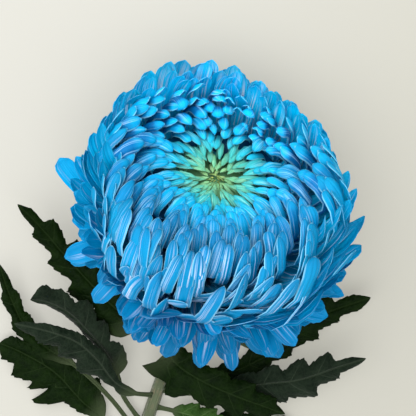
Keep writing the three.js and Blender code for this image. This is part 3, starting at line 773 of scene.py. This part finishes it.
def buildStem(material):
    axis = headFrame()[2]
    neck = [np.array(head["middle"]) - back * axis for back, half in stem["neck"]]
    path = np.array(stem["path"], float)
    knots = np.concatenate([neck, path[:, :3]])
    halves = np.concatenate([[half for back, half in stem["neck"]], path[:, 3]])
    spots, run = curveThrough(knots)
    seats = np.linspace(0, len(knots) - 1, len(spots))
    at = np.linspace(0, run[-1], stem["rings"])
    seat = np.interp(at, run, seats)
    middle = readAlong(at, run, spots)
    along = unit(np.gradient(middle, axis=0))
    along[0] = -axis
    side, up = crossFrame(along)
    half = np.interp(seat, np.arange(len(halves)), halves)
    half = half * (1 + stem["uneven"] * np.sin(0.9 * at + 2 * np.sin(0.31 * at)))
    turn = allRound(stem["sides"])
    crest = np.cos(stem["ridges"] * (turn - math.radians(stem["firstRidge"])))
    wander = 0.25 * np.sin(0.05 * at)[:, None]
    fineCrest = np.cos(4 * stem["ridges"] * turn + wander * 6)
    radius = half[:, None] * (1 - stem["ridgeDepth"] * (1 - crest) - 0.5 * stem["groove"] * (1 - fineCrest))
    across, high = radius * np.cos(turn + np.pi / 2), radius * np.sin(turn + np.pi / 2)
    grid = middle[:, None] + across[..., None] * side[:, None] + high[..., None] * up[:, None]
    # the cut end: a slightly hollow face with its pith
    last, end = middle[-1], stem["cutEnd"]
    face = [last + (grid[-1] - last) * share - along[-1] * sunk for share, sunk, tone in end]
    grid = np.concatenate([grid, face])
    rows, sides = grid.shape[:2]
    marks = spreadMarks((rows, sides), {
        "around": 0.5 + 0.5 * crest,
        "run": np.concatenate([at, [at[-1]] * len(end)])[:, None],
        "end": np.concatenate([at * 0, [tone for share, sunk, tone in end]])[:, None],
    })
    faces = tubeFaces(rows, sides)
    points = grid.reshape(-1, 3)
    points[:, 2] = np.maximum(points[:, 2], stem["floorGap"])
    addPiece("ridgedStem", points, faces, material, marks, ["stem"])
    print("ridgedStem", len(faces), "faces")
    return middle, along, side, up, half


def buildHairs(line, material):
    # short hairs that stand off the stem's sides
    middle, along, side, up, half = line
    n = np.arange(stem["hairs"])
    ring = (0.5 + 0.5 * draw(n, "hairPlace")) * (len(middle) - 1)
    k = ring.astype(int)
    turn = np.pi * draw(n, "hairTurn")
    out = np.cos(turn)[:, None] * side[k] + np.sin(turn)[:, None] * up[k]
    foot = middle[k] + out * (half[k] * 0.9)[:, None]
    lean = out + 0.5 * draw(n, "hairLean")[:, None] * along[k]
    length = 0.25 + half[k] * 0.05 + stem["hairLength"] * (0.7 + 0.3 * draw(n, "hairLength"))
    tip = foot + lean * length[:, None]
    across = np.cross(along[k], out)
    feet = [foot + stem["hairHalf"] * (math.cos(a) * across + math.sin(a) * along[k]) for a in (0, 2.1, 4.2)]
    points = np.stack(feet + [tip], 1).reshape(-1, 3)
    points[:, 2] = np.maximum(points[:, 2], stem["floorGap"])
    base = (4 * n)[:, None, None]
    faces = (np.array([[0, 1, 3], [1, 2, 3], [2, 0, 3]])[None] + base).reshape(-1, 3).tolist()
    marks = spreadMarks(len(points), {"around": 1.0, "run": 0.0, "end": 0.0})
    addPiece("stemHairs", points, faces, material, marks, [])
    print("stemHairs", len(faces), "triangles")


stemLook = {
    "groove": (0.022, 0.031, 0.013),
    "ridge": (0.058, 0.074, 0.036),
    "warm": (0.10, 0.075, 0.045),
    "blush": 0.5,
    "wood": (0.32, 0.36, 0.20),
    "pith": (0.62, 0.62, 0.48),
    "bump": 0.25,
    "roughness": 0.62,
    "gloss": 0.2,
    "down": 0.12,
}
hairLook = dict(stemLook, groove=(0.30, 0.33, 0.24), ridge=(0.34, 0.36, 0.28), warm=(0.34, 0.36, 0.28))
stemLine = buildStem(stemMaterial("ridgedStem", stemLook))
buildHairs(stemLine, stemMaterial("stemDown", hairLook))

# the leaves: what they share, then for each its green, how far the left and the right half tilt
# (deg), its midrib from the petiole's foot to the tip as [x, y, z], and rows of its lobes and
# notches as [share of the way along, reach to the left, reach to the right, forward sweep]
leafShape = {
    "petioleCuts": 9,
    "bladeCuts": 118,
    "columns": 27,
    "thickness": 0.42,
    "edgeThickness": 0.16,
    "rib": 1.3,              # depth of the midrib under the blade's foot
    "petioleHalf": 1.25,
    "footFlare": 0.8,
    "footReach": 1.1,        # how far the foot runs on into the stem
    "bulge": 0.1,
    "opensOver": 0.12,       # share of the way in which the petiole turns into the blade
    "toothEvery": 3.4,       # along the midrib
    "toothDepth": 1.15,
    "quilt": 0.6,            # height of the fields between the side veins
    "quiltEdge": 2.2,
    "wave": 0.9,
    "waveEvery": 17,
    "veinRise": 0.3,
    "veinHalf": 0.7,
    "veinAhead": 0.6,        # a side vein starts this far behind its lobe, over the lobe's reach
    "floorGaps": (0.10, 0.04),  # least height of the top and of the underside
}
leaves = {
    "leafUpperLeft": {
        "green": "dark", "tilt": (-8, -4),
        "line": [(-7.4, 4.6, 7.8), (-19, 9, 12), (-34, 18, 15), (-49, 34, 17), (-62, 50, 20), (-73, 65, 25),
                 (-83, 77, 30)],
        "rows": [(0.14, 1.3, 1.3, 0), (0.22, 13, 8, 0.1), (0.29, 15, 11, 0.35), (0.36, 8, 6, 0.1),
                 (0.46, 13, 11, 0.4), (0.53, 6.5, 6, 0.1), (0.63, 10, 10.5, 0.5), (0.69, 5, 4.5, 0.1),
                 (0.79, 6.5, 8, 0.6), (0.85, 3, 3, 0.1), (0.92, 2.6, 3.4, 0.6)],
    },
    "leafFarLeft": {
        "green": "dark", "tilt": (10, -6),
        "line": [(-26.4, -51.3, 4), (-40, -31, 8.5), (-57, -14, 9), (-74, -3, 9), (-84, 8, 9), (-91, 24, 10),
                 (-96, 43, 14)],
        "rows": [(0.42, 1.3, 1.3, 0), (0.5, 4, 4, 0.1), (0.56, 6, 6, 0.4), (0.61, 4, 4, 0.1),
                 (0.69, 6, 6, 0.4), (0.75, 3.6, 3.6, 0.1), (0.82, 5, 5, 0.4), (0.87, 2.8, 3, 0.1),
                 (0.93, 2.4, 2.6, 0.4)],
    },
    "leafCurledLeft": {
        "green": "grey", "tilt": (-42, 6),
        "line": [(-24.4, -45, 4.2), (-33, -31, 5), (-35, -20, 8), (-40, -7, 13), (-48, 5, 17), (-59, 18, 21),
                 (-70, 25, 25), (-78, 27, 28)],
        "rows": [(0.3, 1.3, 1.3, 0), (0.36, 3, 8, 0.1), (0.42, 4, 10, 0.5), (0.5, 3.5, 6, 0.1),
                 (0.58, 5, 11, 0.4), (0.64, 4, 8, 0.1), (0.72, 5, 12, 0.3), (0.78, 4, 7, 0.1),
                 (0.86, 4, 9.5, 0.1), (0.9, 3, 7.5, 0), (0.955, 2.4, 9.5, 0)],
    },
    "leafPaleLeft": {
        "green": "grey", "tilt": (-6, -16),
        "line": [(-17.7, -30.8, 6.4), (-27, -27, 14), (-36, -20, 18.5), (-45, -7, 21), (-55, 3, 23),
                 (-68, 9, 25), (-78, 12, 26), (-87, 14, 26)],
        "rows": [(0.12, 1.4, 1.4, 0), (0.19, 4, 2.4, 0.3), (0.26, 2.4, 2.4, 0.1), (0.35, 5, 4, 0.1),
                 (0.45, 12, 5.5, 0.2), (0.53, 8, 4.5, 0.1), (0.62, 12, 5, 0.3), (0.7, 7, 4, 0.1),
                 (0.79, 7.5, 4, 0.4), (0.87, 4.4, 2.6, 0.1), (0.94, 3, 2, 0.3)],
    },
    "leafBroadLeft": {
        "green": "dark", "tilt": (-3, -2),
        "line": [(-30.9, -65.5, 4), (-37, -54, 4.2), (-43, -45, 4.4), (-54, -36, 4.6), (-69, -19, 4.6),
                 (-86, -8, 4.8), (-98, -2, 6)],
        "rows": [(0.26, 1.4, 1.4, 0), (0.34, 4, 10, 0.1), (0.4, 6, 16, 0.2), (0.47, 8, 12, 0.1),
                 (0.55, 21, 15, 0.25), (0.59, 9, 9, 0.1), (0.66, 17, 14, 0.3), (0.71, 11, 9, 0.1),
                 (0.8, 15, 10, 0.3), (0.86, 8, 6.5, 0.1), (0.93, 8, 6.5, 0.3)],
    },
    "leafLongRight": {
        "green": "grey", "tilt": (-6, -12),
        "line": [(-10.1, -28.6, 4.6), (3, -30, 6.5), (18, -28, 9), (35, -24, 13), (47, -21, 17),
                 (57, -19, 20), (68, -15.5, 22), (78, -11, 24), (95, -5, 25)],
        "rows": [(0.22, 1.3, 1.3, 0), (0.33, 5, 7, 0.1), (0.41, 8, 11, 0.3), (0.46, 6, 8, 0.1),
                 (0.54, 10, 12.5, 0.3), (0.59, 6, 9.5, 0.1), (0.68, 11, 12, 0.4), (0.73, 6, 6.5, 0.1),
                 (0.81, 9, 7, 0.5), (0.86, 3.6, 3.6, 0.1), (0.93, 2.8, 3, 0.5)],
    },
    "leafBroadFront": {
        "green": "dark", "tilt": (-10, -14),
        "line": [(-5.6, -3.4, 9.9), (-8, -4.5, 17), (-3, -9, 23.5), (10, -17, 26), (26, -25, 24.5),
                 (41, -32, 20.5), (54, -38.5, 15.5)],
        "rows": [(0.09, 1.4, 1.4, 0), (0.15, 8, 15.5, -0.85), (0.22, 9, 12.5, -0.1), (0.27, 10, 18, -0.1),
                 (0.36, 8, 11, 0.1), (0.47, 10, 13, 0.3), (0.55, 7, 9, 0.1), (0.66, 10, 12, 0.5),
                 (0.74, 6, 7, 0.1), (0.85, 6.5, 6.5, 0.5), (0.91, 3.6, 3.6, 0.1)],
    },
    "leafDarkRight": {
        "green": "dark", "tilt": (-4, -6),
        "line": [(2.2, 10, 9.4), (21, 0, 11.5), (45, 2, 11.5), (64, 11, 12), (79, 18, 14), (98, 25, 15)],
        "rows": [(0.3, 1.3, 1.3, 0), (0.38, 5, 5, 0.1), (0.46, 9, 8, 0.3), (0.52, 5, 6, 0.1),
                 (0.62, 10, 12, 0.4), (0.68, 6, 7.5, 0.1), (0.76, 12, 7.5, 0.5), (0.82, 4, 4.4, 0.1),
                 (0.9, 4.5, 5, 0.5)],
    },
    "leafLowRight": {
        "green": "dark", "tilt": (-3, -3),
        "line": [(-6.5, -17, 5), (10, -21.5, 6), (29, -17, 5.5), (48, -7, 6.5), (67, 3, 9)],
        "rows": [(0.22, 1.3, 1.3, 0), (0.33, 5, 5, 0.1), (0.43, 8, 8, 0.4), (0.5, 5, 5, 0.1),
                 (0.6, 8, 7.5, 0.4), (0.68, 4.6, 4.6, 0.1), (0.78, 6, 6, 0.5), (0.85, 3, 3, 0.1),
                 (0.92, 3, 3, 0.5)],
    },
    "leafUnderRight": {
        "green": "dark", "tilt": (-2, -2),
        "line": [(-19.8, -59.5, 4), (-6, -55, 3.8), (16, -51, 3.4), (38, -48, 3.4), (58, -46, 4.4)],
        "rows": [(0.2, 1.3, 1.3, 0), (0.3, 6, 6, 0.1), (0.4, 11, 11, 0.4), (0.48, 6.5, 6.5, 0.1),
                 (0.6, 11, 11, 0.4), (0.68, 6, 6, 0.1), (0.79, 7.5, 7.5, 0.5), (0.86, 3.6, 3.6, 0.1),
                 (0.93, 3.4, 3.4, 0.5)],
    },
    "leafSmallRight": {
        "green": "bright", "tilt": (-4, -4),
        "line": [(-13.4, -38.4, 4.6), (-6, -39, 8), (3, -41, 9.6), (16, -45, 9.6), (29, -51, 8.6)],
        "rows": [(0.18, 1.3, 1.3, 0), (0.3, 5, 5, 0.1), (0.4, 8, 8, 0.4), (0.48, 5, 5, 0.1),
                 (0.6, 8, 8, 0.4), (0.68, 4.6, 4.6, 0.1), (0.79, 6, 6, 0.5), (0.86, 3, 3, 0.1),
                 (0.93, 2.6, 2.6, 0.5)],
    },
}


def lobedReach(shares, at, reach, petioleHalf):
    # the edge rises steeply out of each notch and rounds off at each lobe
    k = np.clip(np.searchsorted(at, shares, "right") - 1, 0, len(at) - 2)
    t = np.clip((shares - at[k]) / (at[k + 1] - at[k]), 0, 1)
    a, b = reach[k], reach[k + 1]
    rising = blendTo(a, b, np.sin(0.5 * np.pi * t))
    falling = blendTo(b, a, np.sin(0.5 * np.pi * (1 - t)))
    inside = np.where(a < b, rising, falling)
    tip = reach[-1] * (1 - np.clip((shares - at[-1]) / (1 - at[-1]), 0, 1))**0.8
    return np.where(shares < at[0], petioleHalf, np.where(shares > at[-1], tip, inside))


def lobePeaks(at, reach):
    higher = (reach[1:-1] >= reach[:-2]) & (reach[1:-1] > reach[2:])
    k = np.nonzero(higher)[0] + 1
    return at[k], reach[k]


def buildLeaf(name, leaf, material, seed):
    shape = leafShape
    spots, run = curveThrough(np.array(leaf["line"], float), 40)
    length = run[-1]
    rows = np.array(leaf["rows"], float)
    start = rows[0, 0]
    blade = np.linspace(start, 1, shape["bladeCuts"] + 1)
    petiole = np.linspace(-shape["footReach"] / length, start, shape["petioleCuts"], endpoint=False)
    shares = np.concatenate([petiole, blade])
    at = shares * length
    middle = readAlong(at, run, spots)
    along = unit(readAlong(at, run, np.gradient(spots, run, axis=0)))
    middle += np.minimum(at, 0)[:, None] * along
    side, up = crossFrame(along)
    opened = np.clip((shares - start) / shape["opensOver"], 0, 1)
    sweep = np.interp(shares, rows[:, 0], rows[:, 3]) * (shares > start)
    t = np.linspace(-1, 1, shape["columns"])
    column = np.sign(t) * np.abs(t)**1.25
    foot = shape["footFlare"] * np.exp(-np.maximum(at + shape["footReach"], 0) / 1.6)
    reach, lane, laneSize = [], [], []
    for c in (2, 1):
        edge = lobedReach(shares, rows[:, 0], rows[:, c], shape["petioleHalf"]) + foot
        phase = (at / shape["toothEvery"] + 0.37 * seed + 0.5 * c) % 1.0
        tooth = (phase - 0.5) * (1 - smooth(phase, 0.82, 1.0)) - 0.35 * smooth(phase, 0.82, 1.0)
        size = shape["toothDepth"] * np.clip((edge - 2) / 5, 0, 1) * opened
        reach.append(edge + size * tooth)
        peakAt, peakReach = lobePeaks(rows[:, 0], rows[:, c])
        peakAt = np.concatenate([[start - 0.08], peakAt, [1.06]])
        ahead = shape["veinAhead"] * np.interp(shares, peakAt[1:-1], peakReach) / length
        shifted = shares[:, None] + ahead[:, None] * (1 - np.abs(column)[None, :])
        lane.append(np.interp(shifted, peakAt, np.arange(len(peakAt))))
        nearest = np.clip(np.round(lane[-1]).astype(int), 0, len(peakAt) - 1)
        laneSize.append(np.gradient(peakAt)[nearest] * length)
    isLeft = (column > 0)[None, :]
    reach = np.where(isLeft, reach[1][:, None], reach[0][:, None])
    lane = np.where(isLeft, lane[1], lane[0])
    laneSize = np.where(isLeft, laneSize[1], laneSize[0])
    share = np.abs(column)[None, :]
    out = share * reach
    lean = np.radians(np.where(isLeft, leaf["tilt"][0], leaf["tilt"][1])) * opened[:, None]
    toVein = np.abs(lane - np.round(lane)) * laneSize
    rise = out * np.sin(lean) + shape["bulge"] * reach * np.sin(np.pi * share) * opened[:, None]
    pillow = shape["quilt"] * (1 - hump(toVein, shape["quiltEdge"])) * np.sin(np.pi * share**0.7)
    rise = rise + (pillow - 0.6 * shape["quilt"]) * opened[:, None] * np.minimum(1, reach / 6)
    wave = np.sin(2 * np.pi * at / shape["waveEvery"] + 2.1 * seed) + 0.6 * np.sin(0.61 * at + seed)
    rise = rise + shape["wave"] * wave[:, None] * share**2 * np.minimum(1, reach / 8) * opened[:, None]
    spot = (middle[:, None] + (np.sign(column) * out * np.cos(lean))[..., None] * side[:, None]
            + rise[..., None] * up[:, None] + (sweep[:, None] * out)[..., None] * along[:, None])
    # thickness: a grooved round petiole, then a thin blade with its veins raised underneath
    rounded = np.sqrt(np.clip(1 - share**2, 0, 1))
    stalkTop = shape["petioleHalf"] * (0.6 * rounded - 0.35 * hump(share, 0.3))
    stalkLow = -shape["petioleHalf"] * 0.95 * rounded
    thick = blendTo(shape["thickness"], shape["edgeThickness"], share**2)
    rib = shape["rib"] * (1 - 0.8 * np.clip(shares, 0, 1))[:, None] * hump(out, 0.85)
    vein = shape["veinRise"] * hump(toVein, shape["veinHalf"]) * (1 - share)
    flat = opened[:, None]**0.5
    top = blendTo(stalkTop, 0.5 * thick - 0.25 * rib, flat)
    low = blendTo(stalkLow, -0.5 * thick - rib - vein, flat)
    both = np.stack([spot + top[..., None] * up[:, None], spot + low[..., None] * up[:, None]])
    both[..., 2] = np.maximum(both[..., 2], np.array(shape["floorGaps"])[:, None, None])
    marks = spreadMarks(both.shape[:3], {
        "lane": lane,
        "laneSize": laneSize,
        "share": share,
        "out": out * np.sign(column),
        "run": at[:, None] + seed * 40,
        "under": np.array([[[0.0]], [[1.0]]]),
        "blade": opened[:, None],
    })
    faces = shellFaces(len(shares), len(column)).tolist()
    node = "".join("_" + c.lower() if c.isupper() else c for c in name)
    return addPiece(name, both.reshape(-1, 3), faces, material, marks, [node])


def leafMaterial(name, look):
    s = Shader(name)
    lane, size, share, out = s.marks("lane", "laneSize", "share", "out")
    run, under, blade = s.marks("run", "under", "blade")
    onLeaf = s.vector(run, out, s.times(under, 9.0))
    # side veins lie where the lane number is whole; the midrib where out is none
    off = s.calc("ABSOLUTE", s.minus(s.calc("FRACT", s.plus(lane, 0.5)), 0.5))
    off = s.times(off, size)
    sideVein = s.times(s.span(off, look["veinHalf"] * 0.4, look["veinHalf"] * 1.7, 1.0, 0.0),
                     s.span(share, 0.35, 1.0, 1.0, 0.15))
    midrib = s.span(s.calc("ABSOLUTE", out), look["veinHalf"], look["veinHalf"] * 2.4, 1.0, 0.0)
    net = s.node("TexVoronoi", {"feature": "DISTANCE_TO_EDGE"}, Vector=onLeaf, Scale=0.42)
    netLine = s.span(net.outputs["Distance"], 0.02, 0.11, look["net"], 0.0)
    veins = s.larger(s.larger(sideVein, midrib), netLine)
    veins = s.times(veins, blade, True)
    cloud = s.span(s.noise(onLeaf, 0.16, 3.0, 0.6), 0.35, 0.68)
    grain = s.noise(onLeaf, 2.4, 2.0)
    topColour = s.mix(cloud, look["deep"], look["light"])
    topColour = s.mix(s.times(veins, look["veinShow"]), topColour, look["vein"])
    lowColour = s.mix(cloud, look["underDeep"], look["underLight"])
    lowColour = s.mix(s.times(veins, 0.8), lowColour, look["underVein"])
    colour = s.mix(under, topColour, lowColour)
    colour = s.mix(blade, look["petiole"], colour)
    colour = s.mix(s.span(grain, 0.4, 0.8, 0.0, 0.25), colour, look["speck"])
    height = s.minus(s.times(net.outputs["Distance"], 0.8), s.times(veins, 0.35))
    height = s.plus(height, s.times(grain, 0.12))
    return s.finish(s.skin(look, colour, s.bump(height, look["bump"] * mm)))


leafLook = {
    "deep": (0.0008, 0.0036, 0.0003),
    "light": (0.0026, 0.0080, 0.0007),
    "vein": (0.009, 0.017, 0.005),
    "underDeep": (0.022, 0.036, 0.018),
    "underLight": (0.034, 0.050, 0.028),
    "underVein": (0.065, 0.085, 0.05),
    "petiole": (0.026, 0.036, 0.017),
    "speck": (0.002, 0.004, 0.0018),
    "veinHalf": 0.32,
    "veinShow": 0.55,
    "net": 0.25,
    "bump": 0.5,
    "roughness": 0.5,
    "gloss": 0.02,
    "down": 0.0,
}
greyLook = dict(leafLook, deep=(0.0016, 0.0046, 0.0020), light=(0.0055, 0.0105, 0.0055),
                vein=(0.018, 0.026, 0.016), down=0.04)
brightLook = dict(leafLook, deep=(0.008, 0.024, 0.004), light=(0.018, 0.044, 0.008),
                  vein=(0.05, 0.085, 0.03))
leafGreens = {
    "dark": leafMaterial("darkLeaf", leafLook),
    "grey": leafMaterial("downyLeaf", greyLook),
    "bright": leafMaterial("youngLeaf", brightLook),
}
for seed, (name, leaf) in enumerate(leaves.items()):
    piece = buildLeaf(name, leaf, leafGreens[leaf["green"]], seed)
print(len(leaves), "leaves,", len(piece.data.polygons) * 2, "triangles each")

# floor
floorLook = {
    "size": 3.0,
    "light": (0.170, 0.168, 0.153),
    "dark": (0.152, 0.150, 0.132),
    "glow": 1.6,             # the floor is lit through from below, over its own colour
    "fade": (-0.17, 0.11),   # painted light falloff: where the light tone turns dark, along x less half of y
    "roughness": 0.9,
}


def buildFloor():
    far = floorLook["size"] / 2
    mesh = bpy.data.meshes.new("floor")
    mesh.from_pydata([(-far, -far, 0), (far, -far, 0), (far, far, 0), (-far, far, 0)], [], [(0, 1, 2, 3)])
    s = Shader("paleFloor")
    place = s.node("TexCoord").outputs["Object"]
    parts = s.node("SeparateXYZ", Vector=place).outputs
    # painted light falloff across the floor, lighter towards -x and +y
    slant = s.minus(parts["X"], s.times(parts["Y"], 0.5))
    fade = s.node("MapRange", {"interpolation_type": "SMOOTHSTEP"}, Value=slant)
    fade.inputs[1].default_value, fade.inputs[2].default_value = floorLook["fade"]
    colour = s.mix(fade.outputs[0], floorLook["light"], floorLook["dark"])
    skin = s.node("BsdfPrincipled", Base_Color=colour, Emission_Color=colour)
    skin.inputs["Emission Strength"].default_value = floorLook["glow"]
    skin.inputs["Roughness"].default_value = floorLook["roughness"]
    mesh.materials.append(s.finish(skin.outputs[0]))
    floor = addObject("floor", mesh)


buildFloor()

# camera: it looks down on the flower, with the head where the photograph has it
camera = {
    "elevation": 80.0,
    "distance": 0.62,        # from the head's middle (m)
    "metresPerPixel": 0.000483,
    "imageSide": 416,
    "headPixel": (208.0, 212.0),
    "sensor": 36.0,
}


def buildCamera():
    lift = math.radians(camera["elevation"])
    toward = Vector((0, math.cos(lift), math.sin(lift)))
    upward = Vector((0, math.sin(lift), -math.cos(lift)))
    right = Vector((1, 0, 0))
    pixel = camera["metresPerPixel"]
    centre = camera["imageSide"] / 2
    target = Vector(head["middle"]) * mm
    target -= right * (camera["headPixel"][0] - centre) * pixel
    target += upward * (camera["headPixel"][1] - centre) * pixel
    data = bpy.data.cameras.new("camera")
    data.sensor_width = camera["sensor"]
    data.lens = camera["sensor"] * camera["distance"] / (camera["imageSide"] * pixel)
    made = addObject("camera", data)
    placed = Matrix((right, upward, toward)).transposed().to_4x4()
    placed.translation = target + toward * camera["distance"]
    made.matrix_world = placed
    bpy.context.scene.camera = made


buildCamera()

lights = {
    "world": (1.0, 0.99, 0.97),
    "worldStrength": 1.8,
    "areas": [               # name, place, aim, size, power
        ("softTop", (-0.2, 0.05, 1.1), (0.0, 0.08, 0.05), 1.2, 17.0),
        ("softRim", (-0.5, 0.9, 0.6), (0.0, 0.08, 0.05), 0.8, 10.0),
    ],
}


def buildLights():
    world = bpy.data.worlds.new("studio")
    bpy.context.scene.world = world
    world.use_nodes = True
    back = world.node_tree.nodes["Background"]
    back.inputs["Color"].default_value = (*lights["world"], 1)
    back.inputs["Strength"].default_value = lights["worldStrength"]
    for name, place, aim, size, power in lights["areas"]:
        data = bpy.data.lights.new(name, "AREA")
        data.size = size
        data.energy = power
        lamp = addObject(name, data)
        lamp.location = place
        lamp.rotation_mode = "QUATERNION"
        lamp.rotation_quaternion = (Vector(aim) - Vector(place)).to_track_quat("-Z", "Y")
    bpy.context.scene.view_settings.view_transform = "Standard"


buildLights()
print("floor, camera and", len(lights["areas"]), "lights")
